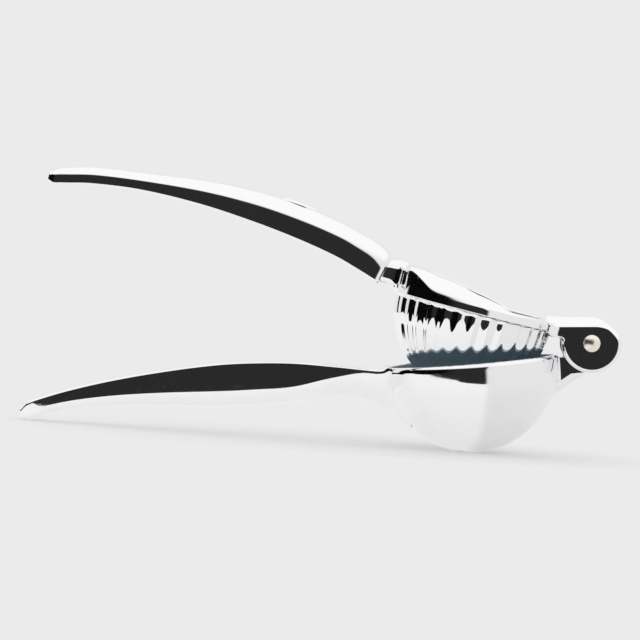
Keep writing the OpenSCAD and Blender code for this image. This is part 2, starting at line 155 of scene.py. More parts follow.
# %% Rows, places and outlines
def along(table, places, column):
    """Cubic through column of the table's rows at the given places, with chord slopes at every row."""
    t = np.asarray(table, float)
    x, y = t[:, 0], t[:, column]
    back, on = np.maximum(np.arange(len(x)) - 1, 0), np.minimum(np.arange(len(x)) + 1, len(x) - 1)
    slope = (y[on] - y[back]) / (x[on] - x[back])
    i = np.clip(np.searchsorted(x, places, side="right") - 1, 0, len(x) - 2)
    h = x[i + 1] - x[i]
    s = (places - x[i]) / h
    return ((2 * s**3 - 3 * s**2 + 1) * y[i] + (s**3 - 2 * s**2 + s) * h * slope[i]
            + (3 * s**2 - 2 * s**3) * y[i + 1] + (s**3 - s**2) * h * slope[i + 1])

def spaced(stops, step, least=6):
    """Places from the first stop to the last: at least `least` steps in each gap, none longer than step."""
    parts = [np.linspace(a, b, max(least, math.ceil((b - a) / step)), endpoint=False)
             for a, b in zip(stops[:-1], stops[1:])]
    return np.concatenate(parts + [[stops[-1]]])

def full_turn(count):
    """Angles of count equal steps round a circle."""
    return np.linspace(0, 2 * math.pi, count, endpoint=False)

def arc(count, first=0, last=90):
    """Count angles in radians, evenly from first to last degrees."""
    return np.radians(np.linspace(first, last, count))

EDGE_R = 1.1
CROWN_STEPS, CORNER_STEPS = 56, 7
SIDE_STOPS, FLAT_STOPS = [0.04, 0.35, 0.65, 0.96], [0.96, 0.5, 0.0, -0.5, -0.96]

def d_outline(inner, crown, half, side, square, edge=EDGE_R):
    """D-shaped outlines (stations, points, [y, z]): a crown |y/half|^square + |z/rise|^square = 1 over
    straight sides, and a flat inner face with corners of radius edge. Inputs are arrays over the stations."""
    inner, crown, half, side, square = (np.asarray(v, float)[:, None]
                                        for v in (inner, crown, half, side, square))
    up_sign = np.sign(crown - inner)
    side_z = inner + side * (crown - inner)
    angle = np.linspace(0, math.pi, CROWN_STEPS + 1)[None]
    c, s = np.cos(angle), np.sin(angle)
    reach = (np.abs(c)**square + s**square) ** (-1 / square)
    crown_y, crown_z = half * c * reach, side_z + (crown - side_z) * s * reach
    r = np.minimum(np.minimum(edge, 0.4 * half), 0.9 * np.abs(side_z - inner))
    low = inner + up_sign * r
    down = np.array(SIDE_STOPS)[None]
    side_y, side_line = half + 0 * down, side_z + (low - side_z) * down
    bend = arc(CORNER_STEPS + 1)[None]
    corner_y, corner_z = half - r * (1 - np.cos(bend)), low - up_sign * r * np.sin(bend)
    over = np.array(FLAT_STOPS)[None]
    flat_y, flat_z = (half - r) * over, inner + 0 * over
    y = np.concatenate([crown_y, -side_y, -corner_y, -flat_y, corner_y[:, ::-1], side_y], axis=1)
    z = np.concatenate([crown_z, side_line, corner_z, flat_z, corner_z[:, ::-1], side_line[:, ::-1]], axis=1)
    return np.stack([y, z], axis=-1)

def loft(x, outlines):
    """Grid of points for outlines (stations, points, [y, z]) placed at x, one station each."""
    x = np.broadcast_to(np.asarray(x)[:, None, None], outlines.shape[:2] + (1,))
    return np.concatenate([x, outlines], axis=-1)

# %% [markdown]
# ## Where the arms stand
# Both arms are drawn level about the hinge axis and then tilted about it. The lower arm tilts until the
# flat under its bowl and the tip of its handle both touch the table, and the upper one stands open by a
# further 19.1 degrees.

# %% Sizes shared by both arms
BOWL_R, BOWL_REACH, BOWL_DROP, RIM_RISE, BOWL_WALL, BOWL_FLOOR = 34.2, 48.2, 6.0, 2.5, 1.1, 1.6
LIP_OUT, LIP_ROUND_H, LIP_ROUND_W, FOOT_R = 0.8, 2.6, 1.5, 6.0
DOME_R, DOME_REACH, DOME_DROP = 31.6, 48.3, 0.9
FLUTES, FLUTE_DEPTH, DOME_WALL = 32, 0.8, 2.0
RING_R, RING_Z, RING_H, RING_ROUND = 33.0, 0.3, 3.9, 1.6
UPPER_REACH, LOWER_REACH, UPPER_W, LOWER_W, NECK_W = 226.2, 229.6, 20.0, 20.4, 15.6
UPPER_START = DOME_REACH + RING_R + 4.9
LOWER_START = BOWL_REACH + BOWL_R - 9.0
OPEN_ANGLE, TIP_FLAT = 19.1, 0.25
BOWL_AT = np.array([-BOWL_REACH, 0, -BOWL_DROP])

# Rows of a handle: share of its length, inner face, crown, share of its width, height of the straight
# sides as a share, and how square the crown is
UPPER_HANDLE = [
    [0.000, 2.4, 12.0, 0.72, 0.50, 2.2], [0.006, 1.6, 13.7, 0.86, 0.45, 2.2],
    [0.022, 1.9, 15.6, 0.93, 0.42, 2.2], [0.064, 3.6, 18.2, 0.97, 0.42, 2.2],
    [0.150, 7.0, 21.4, 1.00, 0.42, 2.2], [0.270, 10.0, 24.0, 1.00, 0.42, 2.2],
    [0.400, 12.2, 25.2, 0.96, 0.42, 2.2], [0.555, 13.7, 24.3, 0.88, 0.42, 2.2],
    [0.730, 13.4, 21.2, 0.76, 0.42, 2.2], [0.870, 11.0, 18.4, 0.66, 0.42, 2.2],
    [0.955, 8.3, 15.3, 0.60, 0.45, 2.2], [0.985, 7.5, 13.6, 0.55, 0.50, 2.2],
    [1.000, 8.3, 12.0, 0.40, 0.50, 2.2]]
LOWER_HANDLE = [
    [0.000, -4.2, -29.0, 1.15, 0.07, 2.1], [0.028, -4.2, -25.6, 1.12, 0.07, 2.1],
    [0.055, -4.0, -22.0, 1.04, 0.08, 2.1], [0.082, -3.7, -19.2, 0.96, 0.09, 2.1],
    [0.122, -2.6, -16.0, 0.88, 0.12, 2.1], [0.180, -0.9, -13.8, 0.84, 0.32, 2.1],
    [0.290, 2.0, -14.6, 0.94, 0.58, 2.2], [0.400, 3.5, -14.6, 1.00, 0.62, 2.2],
    [0.495, 3.8, -14.1, 0.98, 0.62, 2.2], [0.620, 2.8, -12.3, 0.90, 0.60, 2.2],
    [0.750, 0.9, -10.7, 0.76, 0.58, 2.2], [0.860, -1.6, -10.4, 0.64, 0.56, 2.2],
    [0.935, -4.0, -11.6, 0.54, 0.54, 2.2], [0.978, -6.0, -13.4, 0.44, 0.52, 2.2],
    [1.000, -8.8, -12.0, 0.24, 0.50, 2.2]]

def resting_tilt():
    """Tilt that puts the tip of the lower handle and the flat under the bowl on one level."""
    place, _, tip_z = LOWER_HANDLE[-2][:3]
    run = -BOWL_REACH + LOWER_START + place * (LOWER_REACH - LOWER_START)
    fall = tip_z + BOWL_DROP
    foot_drop = math.sqrt(BOWL_R**2 - FOOT_R**2)
    return math.asin((-foot_drop - TIP_FLAT) / math.hypot(run, fall)) - math.atan2(fall, run)

def stand(grid, tilt):
    """Turns level points about the hinge axis by tilt and puts the axis in its place."""
    x, y, z = np.moveaxis(grid, -1, 0)
    return np.stack([PIVOT[0] + x * math.cos(tilt) + z * math.sin(tilt), y,
                     PIVOT[2] - x * math.sin(tilt) + z * math.cos(tilt)], axis=-1)

def about_pin(r, y, angle):
    """Points at radius r about the hinge axis and y along it, angle upwards from +X."""
    return np.stack(np.broadcast_arrays(r * np.cos(angle), y, r * np.sin(angle)), axis=-1)

LOWER_TILT = resting_tilt()
UPPER_TILT = LOWER_TILT + math.radians(OPEN_ANGLE)
print("lower arm tilts by", round(math.degrees(LOWER_TILT), 3), "degrees")
print("middle of the bowl:", stand(BOWL_AT, LOWER_TILT).round(2))

# %% [markdown]
# ## Handles
# Each handle is a lever with a D-shaped section: flat on the side that faces the other handle, round in
# the palm. A loft through its rows gives the body, and its tip closes with a small radius, as a polished
# end does.

# %% Handles
START_LEAN, LEAN_RUN, END_R, ROW_STEP = 0.25, 0.12, 0.7, 0.009

def handle_grid(table, start, reach, half_w, lean=0.0):
    """Loft of D outlines from start to reach. The start leans by lean, which fades out along LEAN_RUN, and
    the last END_R of the tip curves in, as a quarter of a circle."""
    places = spaced([row[0] for row in table], ROW_STEP)
    tip = 1 - END_R / (reach - start)
    places = np.append(places[places < tip - 1e-4], tip)
    rows = [along(table, places, k) for k in range(1, 6)]
    grid = loft(-(start + places * (reach - start)), d_outline(rows[0], rows[1], half_w * rows[2], *rows[3:]))
    lean_here = lean * np.maximum(1 - places / LEAN_RUN, 0)**2
    grid[..., 0] += lean_here[:, None] * (grid[..., 2] - (table[0][1] + table[0][2]) / 2)
    bend = arc(6, 15)
    middle = grid[-1].mean(axis=0)
    size = np.abs(grid[-1] - middle).max()
    shrink = 1 - END_R / size * (1 - np.cos(bend))
    cap = middle + (grid[-1] - middle)[None] * shrink[:, None, None]
    cap[..., 0] -= (END_R * np.sin(bend))[:, None]
    return np.concatenate([grid, cap])

upper_handle = handle_grid(UPPER_HANDLE, UPPER_START, UPPER_REACH, UPPER_W / 2, START_LEAN)
lower_handle = handle_grid(LOWER_HANDLE, LOWER_START, LOWER_REACH, LOWER_W / 2)
print("handle rows:", upper_handle.shape[:2], lower_handle.shape[:2])

# %% [markdown]
# ## Roots with a fillet
# Where one form of a casting meets another, the mould has a small radius. A surface's points are moved
# along their own normals until they lie on the rounded union of the two forms, and points inside the
# other form end SINK under its surface, so the seam can't be seen.

# %% Fillets
def normals_of(grid):
    """Unit normals of a grid whose columns go round: cross product of the two directions, turned outwards."""
    down = np.gradient(grid, axis=0)
    across = np.roll(grid, -1, axis=1) - np.roll(grid, 1, axis=1)
    n = np.cross(down, across)
    n /= np.linalg.norm(n, axis=-1, keepdims=True) + 1e-12
    outward = np.einsum("ijk,ijk->", n, grid - grid.mean(axis=1, keepdims=True))
    return n if outward > 0 else -n

SINK, HALVINGS = 0.03, 26

def fillet(grid, distance, radius, furthest=12.0):
    """Moves each point by t along its normal until the smooth least of t and the distance to the other
    form is zero. distance takes points (..., 3) and is negative inside the other form."""
    normals = normals_of(grid)
    low, high = np.zeros(grid.shape[:2]), np.full(grid.shape[:2], furthest)

    def gap(t):
        other = distance(grid + normals * t[..., None]) + SINK
        share = np.maximum(radius - np.abs(t - other), 0)
        return np.minimum(t, other) - share**2 / (4 * radius)

    for _ in range(HALVINGS):
        middle = (low + high) / 2
        inside = gap(middle) < 0
        low, high = np.where(inside, middle, low), np.where(inside, high, middle)
    return grid + normals * low[..., None]

def smooth_most(a, b, radius):
    """The larger of two heights, rounded over radius where they meet."""
    share = np.maximum(radius - np.abs(a - b), 0)
    return np.maximum(a, b) + share**2 / (4 * radius)

# %% [markdown]
# ## The press head
# The fluted dome, the ring round it and the raised shoulder that runs back into the neck are one form
# about the dome's axis. It is one surface, whose rows run from the dome's pole over the flutes, out under
# the ring, up its wall, over its top and down into the hollow. Going round, 32 flutes follow a cosine, so
# crests and grooves are equally round.

# %% The press head
# Rows as for a handle, but each starts with its place behind the ring's wall
NECK = [
    [-48.0, 0.0, 4.6, 0.98, 0.44, 2.0], [-42.5, 0.0, 9.3, 0.98, 0.21, 2.0],
    [-38.0, 0.0, 11.8, 0.98, 0.15, 2.0], [-33.0, 0.0, 13.9, 0.98, 0.12, 2.0],
    [-27.0, 0.0, 16.9, 0.98, 0.09, 2.0], [-20.5, 0.0, 18.3, 0.98, 0.09, 2.0],
    [-14.0, 0.0, 16.5, 0.98, 0.18, 2.0], [-9.5, 0.0, 13.8, 0.97, 0.48, 2.0],
    [-6.5, 0.0, 12.6, 0.90, 0.68, 2.2], [-4.0, 0.4, 12.2, 0.74, 0.78, 2.4],
    [-1.6, 1.1, 12.2, 0.00, 0.60, 2.4], [3.0, 1.5, 12.2, 0.00, 0.55, 2.4],
    [7.5, 1.5, 12.2, 0.00, 0.50, 2.2]]
HOLLOW_R = DOME_R - FLUTE_DEPTH - DOME_WALL
LOBE_STEPS = 10
LIP_R, ROOT_H, RING_EDGE, LEDGE_IN, SHOULDER_SOFT = 0.6, 1.8, 0.4, 0.5, 0.5

def head_top(r, angle):
    """Height of the head's top at radius r and angle: the ring's own rounded top, or the shoulder's crown
    (1 - |y/half|^square)^(1/square) of its rise, whichever is higher, with a soft change between them."""
    ring = RING_Z + RING_H - RING_ROUND + np.sqrt(
        np.maximum(RING_ROUND**2 - np.maximum(r - RING_R + RING_ROUND, 0)**2, 0))
    x, y = r * np.cos(angle), r * np.sin(angle)
    u = np.clip(-RING_R - x, NECK[0][0], -2.2)
    half = np.sqrt(np.maximum(RING_R**2 - x**2, 1e-9))
    crown, side, square = (along(NECK, u, k) for k in (2, 4, 5))
    full = np.maximum(1 - np.minimum(np.abs(y) / half, 1)**square, 0) ** (1 / square)
    shoulder = RING_Z + crown * (side + (1 - side) * full)
    return smooth_most(ring, shoulder, SHOULDER_SOFT)

def head_grid():
    """Rows from the dome's pole to the pole of the hollow, columns round the dome's axis."""
    angle = full_turn(FLUTES * LOBE_STEPS)
    fluted = 1 - FLUTE_DEPTH / DOME_R * (1 - np.cos(angle * FLUTES)) / 2
    rise = np.concatenate([arc(34, 89.6, 30), arc(19, 28, 1.5)])
    rows = [(DOME_R * math.cos(a) * fluted, -DOME_DROP - DOME_R * math.sin(a)) for a in rise]
    wall, ledge = DOME_R * fluted, RING_R - LEDGE_IN
    rows += [(wall + (ledge - wall) * (1 - math.cos(b)), RING_Z - ROOT_H * (1 - math.sin(b)))
             for b in arc(10)]
    rows += [(RING_R - RING_EDGE * (1 - math.sin(b)), RING_Z + RING_EDGE * (1 - math.cos(b)))
             for b in arc(6, 10)]
    edge = head_top(RING_R - 1e-6 + 0 * angle, angle)
    rows += [(RING_R, RING_Z + RING_EDGE + (edge - RING_Z - RING_EDGE) * s)
             for s in (0.06, 0.3, 0.55, 0.78, 0.92, 1.0)]
    inner = HOLLOW_R + LIP_R
    for s in np.linspace(0, 1, 27)[1:]:
        r = RING_R - (RING_R - inner) * s**3 + 0 * angle
        rows.append((r, head_top(r, angle)))
    brim = head_top(inner + 0 * angle, angle)
    rows += [(HOLLOW_R + LIP_R * (1 - math.sin(b)), brim - LIP_R * (1 - math.cos(b))) for b in arc(6, 15)]
    rows += [(HOLLOW_R, (brim - LIP_R) * (1 - s) - DOME_DROP * s) for s in (0.05, 0.35, 0.7, 0.96)]
    rows += [(HOLLOW_R * math.cos(a), -DOME_DROP - HOLLOW_R * math.sin(a)) for a in arc(30, 0, 89)]
    r, z = (np.array([row[k] + 0 * angle for row in rows]) for k in (0, 1))
    return np.stack([-DOME_REACH + r * np.cos(angle), r * np.sin(angle), z], axis=-1)

def head_distance(points):
    """Distance to the ring from outside: to its wall, its top or its underside, whichever is further."""
    x, y, z = points[..., 0] + DOME_REACH, points[..., 1], points[..., 2]
    r = np.hypot(x, y)
    top = head_top(np.minimum(r, RING_R - 0.3), np.arctan2(y, x))
    return np.maximum(np.maximum(r - RING_R, z - top), RING_Z - z)

head = head_grid()
print("press head:", head.shape[0], "rows of", head.shape[1])

# %% [markdown]
# ## The neck
# A short bar with a rounded top joins the ring to the handle. Its sides run out of the ring's wall with
# a fillet, and the handle's blunt start stands round its other end like a collar.

# %% The neck
NECK_FROM, NECK_DIP, NECK_EDGE, NECK_FILLET = -1.6, 0.35, 3.0, 4.0

def neck_grid():
    """Loft from just inside the ring's wall to inside the handle, its root rounded into the ring."""
    u = np.concatenate([np.linspace(-3.4, -1.0, 14), np.linspace(-0.9, 5.5, 52), np.linspace(5.8, 7.5, 5)])
    rows = [along(NECK, np.maximum(u, NECK_FROM), k) for k in (1, 2, 4, 5)]
    dip = NECK_DIP * np.clip((-0.4 - u) / 3, 0, 1)
    outlines = d_outline(RING_Z + rows[0], RING_Z + rows[1] - dip, 0 * u + NECK_W / 2, *rows[2:],
                         edge=NECK_EDGE)
    return fillet(loft(-(DOME_REACH + RING_R + u), outlines), head_distance, NECK_FILLET)

neck = neck_grid()
print("neck:", neck.shape[0], "rows")

# %% [markdown]
# ## The fork
# Two cheeks carry the pin. Each is a thick round eye with a web that runs back to the ring, flush with the
# eye's outer face. Two flats are cut over the pair, one along the top and one over the nose, with a broad
# bevel towards the outer faces. A cheek is drawn in polar form about the pin: its radius at each height
# through its thickness is the eye's or the web's, with a fillet between them, less what the flats cut off.

# %% The fork
PIN_R, TONGUE_W, WASHER_T, WASHER_PLAY = 2.6, 14.0, 0.5, 0.1
EYE_R, CHEEK_T, EYE_ROUND, INNER_ROUND = 11.9, 5.0, 1.5, 1.2
FORK_IN = TONGUE_W / 2 + WASHER_T + WASHER_PLAY
FORK_OUT = FORK_IN + CHEEK_T
WEB_LOW, WEB_IN, WEB_FILLET, WEB_EDGE, WEB_ROOT, FACE_EDGE = 0.7, 4.6, 2.0, 0.3, 4.6, 0.3
# The two flats: slope, distance from the pin, width of the bevel and softness of the edge
FLATS = [(math.radians(-14.7), 9.9, 3.3, 0.8), (math.radians(25.3), 10.2, 1.7, 2.6)]

def quarter(y, edge, radius):
    """How far a rounded edge has drawn in at y: radius at the edge itself, nothing one radius from it."""
    s = np.clip(1 - np.abs(edge - y) / radius, 0, 1)
    return radius * (1 - np.sqrt(1 - s**2))

def soft_least(a, b, radius):
    """The smaller of two lengths, rounded over radius where they meet."""
    return -smooth_most(-a, -b, radius)

def cheek_outline(y, angle):
    """Radius about the pin at each y (rows) in each direction (columns). The web's lower edge is the line
    z = -low, it ends square WEB_IN inside the ring's wall, and a circle of radius WEB_FILLET touches both
    line and eye."""
    c, s = np.cos(angle)[None], np.sin(angle)[None]
    eye = EYE_R - quarter(y, FORK_OUT, EYE_ROUND)[:, None] - quarter(y, FORK_IN, FACE_EDGE)[:, None]
    low = WEB_LOW - quarter(y, FORK_OUT, WEB_EDGE)[:, None] - quarter(y, FORK_IN, FACE_EDGE)[:, None]
    fx, fz = -np.sqrt((eye + WEB_FILLET)**2 - (low + WEB_FILLET)**2), -(low + WEB_FILLET)
    along_ray = fx * c + fz * s
    bend = along_ray - np.sqrt(np.maximum(along_ray**2 - fx**2 - fz**2 + WEB_FILLET**2, 0))
    past = angle[None] - math.pi
    line = np.where(past > 0, low / np.maximum(-s, 1e-6), 1e3)
    web = np.minimum(line, (DOME_REACH - RING_R + WEB_IN) / np.maximum(-c, 1e-6))
    on_web = (past < np.arctan(low / -fx)) & (c < -0.3)
    on_bend = (past < np.arctan(-fz / -fx)) & (past > 0)
    radius = np.where(on_web, np.maximum(web, 0), np.where(on_bend, bend, eye))
    inner = quarter(y, FORK_IN, INNER_ROUND)
    for tilt, height, bevel, soft in FLATS:
        cut = height - np.maximum(y - (FORK_OUT - bevel), 0) - inner
        facing = np.maximum(math.sin(tilt) * c + math.cos(tilt) * s, 1e-3)
        radius = soft_least(radius, cut[:, None] / facing, soft)
    return radius

# Columns of a cheek in degrees: from, to and step, closer along the web
CHEEK_COLUMNS = [(0, 140, 1.25), (140, 170, 0.5), (170, 181, 1), (181, 184, 0.1), (184, 192, 0.4),
                 (192, 360, 1.25)]

def cheek_grid(side):
    """Rows go through the thickness and over both faces, columns go round the pin."""
    angle = np.radians(np.concatenate([np.arange(*span) for span in CHEEK_COLUMNS]))
    bend = arc(14)
    y = np.concatenate([FORK_IN + INNER_ROUND * (1 - np.cos(bend)),
                        np.linspace(FORK_IN + 1.3, FORK_OUT - 2.1, 10),
                        FORK_OUT - EYE_ROUND * (1 - np.sin(bend))])
    y = np.sort(np.concatenate([y, FORK_OUT - WEB_EDGE * (1 - np.sin(bend[4:-1]))]))
    radius = cheek_outline(y, angle)
    face = np.concatenate([np.linspace(0.99, 0.5, 30), [0.35, 0.18]])[:, None]
    radius = np.concatenate([radius[:1] * face[::-1], radius, radius[-1:] * face])
    y = np.concatenate([np.full(len(face), FORK_IN), y, np.full(len(face), FORK_OUT)])
    grid = about_pin(radius, side * y[:, None], angle)
    moved = fillet(grid, head_distance, WEB_ROOT, furthest=5.0)
    ease = np.clip((grid[..., :1] + DOME_REACH - RING_R + WEB_IN) / 2, 0, 1)
    return grid + (moved - grid) * ease

cheeks = [cheek_grid(side) for side in (-1, 1)]
print("fork: each cheek", cheeks[0].shape[:2])

# %% [markdown]
# ## The upper casting
# Head, neck, handle and cheeks are one piece of metal, so their skins go into one mesh.

# %% The upper casting
upper_arm = mesh_piece("upper_casting", [skin(stand(grid, UPPER_TILT))
                                         for grid in [head, neck, upper_handle] + cheeks])
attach(upper_arm, "upper")
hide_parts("upper_arm")
report(upper_arm)

# %% [markdown]
# ## The bowl
# The bowl is a half sphere with a thin wall, an upright band round its rim and a small flat foot. Its foot
# lies on the table while the rest is tilted with the arm, so the rows of the outer surface are circles on
# one sphere whose axis turns, row by row, from upright at the foot to square with the rim at the band.

# %% The bowl
# Rows of the band: height over the bowl's middle and radius, as shares of BOWL_R
BAND = [[-0.6725, 0.7401], [-0.5556, 0.8315], [-0.4386, 0.9088], [-0.3363, 0.9708], [-0.2632, 1.0029],
        [-0.2047, 1.0170], [-0.1608, 1.0211], [-0.1023, 1.0228], [-0.0029, 1.0234], [0.0731, 1.0234]]
BAND_LOW = BAND[1][0] * BOWL_R
TURN_SHARE, RIM_EDGE = 1.15, 0.2

def band_radius(z):
    """Outer radius of the bowl's band at height z over the bowl's middle."""
    return BOWL_R * along(BAND, np.clip(z / BOWL_R, BAND[1][0], BAND[-1][0]), 1)

def bowl_grid():
    """Rows from the middle of the foot, up the outside, over the lip and down the inside to its floor."""
    angle = full_turn(336)

    def circle(r, z, tilt):
        """Circle of radius r at height z over the bowl's middle, about an axis tilted back by tilt."""
        x, y = r * np.cos(angle), r * np.sin(angle)
        return np.stack([x * math.cos(tilt) + z * math.sin(tilt), y,
                         -x * math.sin(tilt) + z * math.cos(tilt)], axis=-1)

    foot = math.asin(FOOT_R / BOWL_R)
    rows = [circle(FOOT_R * s, -BOWL_R * math.cos(foot), -LOWER_TILT) for s in (0.1, 0.4, 0.7, 0.97)]
    for s in np.linspace(0, 1, 46):
        polar = foot + (math.acos(-BAND_LOW / BOWL_R) - foot) * s
        turn = -LOWER_TILT * (1 - min(1, TURN_SHARE * s))
        rows.append(circle(BOWL_R * math.sin(polar), -BOWL_R * math.cos(polar), turn))
    lip, band_top = BOWL_R + LIP_OUT, RIM_RISE - LIP_ROUND_H - 0.3
    rows += [circle(band_radius(z), z, 0) for z in np.linspace(BAND_LOW + 0.4, band_top, 40)]
    rows += [circle(lip - LIP_ROUND_W * (1 - math.cos(b)), RIM_RISE - LIP_ROUND_H * (1 - math.sin(b)), 0)
             for b in arc(22)]
    inner = BOWL_R - BOWL_WALL
    rows += [circle(inner + RIM_EDGE * (1 - math.sin(b)), RIM_RISE - RIM_EDGE * (1 - math.cos(b)), 0)
             for b in arc(5)]
    floor_z = BOWL_FLOOR - math.sqrt(BOWL_R**2 - FOOT_R**2)
    floor_r = math.sqrt(inner**2 - floor_z**2)
    end = math.acos(floor_r / inner)
    rows += [circle(inner * math.cos(a), -inner * math.sin(a), 0) for a in np.linspace(0, end, 40)]
    rows += [circle(floor_r * s, floor_z, 0) for s in (0.97, 0.8, 0.6, 0.4, 0.2, 0.05)]
    return np.array(rows) + BOWL_AT

def bored(piece, cutters):
    """Cuts closed skins out of a piece with a Boolean modifier, and keeps the result as the piece's mesh."""
    tool = mesh_piece("cutter", cutters)
    cut = piece.modifiers.new("holes", "BOOLEAN")
    cut.operation, cut.solver, cut.object = "DIFFERENCE", "EXACT", tool
    bpy.context.view_layer.update()
    mesh = bpy.data.meshes.new_from_object(piece.evaluated_get(bpy.context.evaluated_depsgraph_get()))
    piece.modifiers.clear()
    piece.data = mesh
    bpy.data.objects.remove(tool)
    return piece

def drill(middle, radius, low, high, columns=40):
    """A closed rod along the bowl's axis, from low to high over the bowl's middle: three circles."""
    angle = full_turn(columns)
    rows = [np.stack([middle[0] + radius * np.cos(angle), middle[1] + radius * np.sin(angle), z + 0 * angle],
                     axis=-1) for z in (low, (low + high) / 2, high)]
    return skin(stand(np.array(rows) + BOWL_AT, LOWER_TILT))

DRAINS, DRAIN_R, DRAIN_RING = 5, 1.8, 8.6
ring_angles = 2 * math.pi * (np.arange(DRAINS) + 0.5) / DRAINS
drain_spots = [(0.0, 0.0)] + [(-DRAIN_RING * math.cos(a), -DRAIN_RING * math.sin(a)) for a in ring_angles]
bowl = mesh_piece("bowl", [skin(stand(bowl_grid(), LOWER_TILT))])
bored(bowl, [drill(spot, DRAIN_R, -BOWL_R - 2, -BOWL_R + 9) for spot in drain_spots])
report(bowl)

# %% [markdown]
# ## The lower arm round the bowl
# The handle's neck flares into the back of the bowl, and a tongue with a round end reaches from its
# front to the hinge. Both are lofts whose roots are rounded into the bowl. Inside the bowl's wall their
# points and their closed ends are drawn on to the middle of the wall, so nothing shows in the bowl.

# %% The tongue and the lower casting
TONGUE_R, TONGUE_TOP, TONGUE_SLOPE, TONGUE_EDGE = 8.9, -4.5, math.radians(29.6), 4.0
TONGUE_RUN = BOWL_REACH - BOWL_R + 12
PIN_PLAY, SMALL_EDGE = 0.06, 0.5
NECK_ROOT, TONGUE_ROOT, ROOT_REACH = 3.0, 1.2, 3.5

def wall_distance(points):
    """Distance to the bowl's outside: to the sphere below the band, and level with the band to the band."""
    p = points - BOWL_AT
    flat, z = np.hypot(p[..., 0], p[..., 1]), p[..., 2]
    lean = (band_radius(z + 0.1) - band_radius(z - 0.1)) / 0.2
    return np.where(z < BAND_LOW, np.linalg.norm(p, axis=-1) - BOWL_R,
                    (flat - band_radius(z)) / np.sqrt(1 + lean**2))

def bowl_distance(points):
    """Distance to the bowl's outside, which ends at the rim."""
    return np.maximum(wall_distance(points), points[..., 2] + BOWL_DROP - RIM_RISE)

def into_wall(grid, depth=0.55, below_rim=0.4):
    """Points deeper than the middle of the bowl's wall are drawn out to it, and kept below the rim."""
    p = grid - BOWL_AT
    inside = wall_distance(grid) < -depth
    p[..., 2] = np.where(inside, np.minimum(p[..., 2], RIM_RISE - below_rim), p[..., 2])
    below = p[..., 2:] < BAND_LOW
    part = np.where(below, p, p * [1, 1, 0])
    wanted = np.where(below, BOWL_R, band_radius(p[..., 2:])) - depth
    scaled = p + part * (wanted / (np.linalg.norm(part, axis=-1, keepdims=True) + 1e-9) - 1)
    return np.where(inside[..., None], scaled + BOWL_AT, grid)

def rounded(corners, cuts):
    """Outline (stations, points, [y, z]) of a polygon whose corners (y, z over the stations) are rounded off
    by a parabola that starts and ends at the distance cuts from each corner."""
    c, cut = np.array([[0 * z + y, z] for y, z in corners]), np.array(cuts)[:, None]
    before, after = np.roll(c, 1, axis=0) - c, np.roll(c, -1, axis=0) - c
    start = c + before / np.linalg.norm(before, axis=1, keepdims=True) * cut
    end = c + after / np.linalg.norm(after, axis=1, keepdims=True) * cut
    s = np.linspace(0, 1, 12)[:, None, None, None]
    bends = (1 - s)**2 * start + 2 * s * (1 - s) * c + s**2 * end
    return np.moveaxis(bends, 0, 1).reshape(-1, 2, c.shape[2]).transpose(2, 0, 1)

def tongue_bar():
    """Bar from inside the bowl's wall to inside the tongue's round end: straight underside, flat top. The
    lower edges are well rounded, less so between the cheeks."""
    turn_x, turn_z = TONGUE_R * math.sin(TONGUE_SLOPE), -TONGUE_R * math.cos(TONGUE_SLOPE)
    x = np.linspace(turn_x - TONGUE_RUN * math.cos(TONGUE_SLOPE), 1.5, 60)
    low = turn_z + (x - turn_x) * math.tan(TONGUE_SLOPE)
    half, top = TONGUE_W / 2, TONGUE_TOP + 0 * x
    soft = SMALL_EDGE + (TONGUE_EDGE - SMALL_EDGE) * np.clip((-3 - x) / 6, 0, 1)
    corners = [(half, low), (half, top), (-half, top), (-half, low)]
    return loft(x, rounded(corners, [soft, SMALL_EDGE + 0 * x, SMALL_EDGE + 0 * x, soft]))

def tongue_eye():
    """Closed band about the hinge axis: over one face, round the edge, over the other, through the bore."""
    half, bore, bend = TONGUE_W / 2, PIN_R + PIN_PLAY, arc(7)
    r = np.concatenate([[bore, bore + 0.3, 5.0, 7.0], TONGUE_R - SMALL_EDGE * (1 - np.sin(bend)),
                        np.full(3, TONGUE_R)])
    y = np.concatenate([[half] * 4, half - SMALL_EDGE * (1 - np.cos(bend)), [half - 1, half - 3, 0]])
    r = np.concatenate([r, r[:-1][::-1], [bore, bore]])
    y = np.concatenate([y, -y[:-1][::-1], [-half + 0.3, half - 0.3]])
    return about_pin(r[:, None], y[:, None], full_turn(192))

def end_rows(grid, shares=(0.02, 0.25, 0.5, 0.75)):
    """Puts smaller copies of the first row before it, so that the closed end can follow the bowl's wall."""
    middle = grid[0].mean(axis=0)
    return np.concatenate([middle + (grid[:1] - middle) * np.array(shares)[:, None, None], grid])

lower_neck = into_wall(end_rows(fillet(lower_handle, bowl_distance, NECK_ROOT, furthest=ROOT_REACH)))
tongue = into_wall(end_rows(fillet(tongue_bar(), bowl_distance, TONGUE_ROOT, furthest=ROOT_REACH)))
above_table = np.maximum(stand(lower_neck, LOWER_TILT), [-np.inf, -np.inf, 0])
lower_arm = mesh_piece("lower_casting", [skin(above_table), skin(stand(tongue, LOWER_TILT)),
                                         band(stand(tongue_eye(), LOWER_TILT))])
joined = [lower_arm, bowl]
with bpy.context.temp_override(active_object=lower_arm, selected_editable_objects=joined,
                               selected_objects=joined, object=lower_arm):
    bpy.ops.object.join()
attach(lower_arm, "lower")
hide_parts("lower_arm")
report(lower_arm)

# %% [markdown]
# ## The strainer cup
# A moulded cup of blue-grey plastic lines the bowl and keeps the pips back. Its wall is thin, its edge is
# rounded, and its flat floor has rings of small holes over the drain holes.

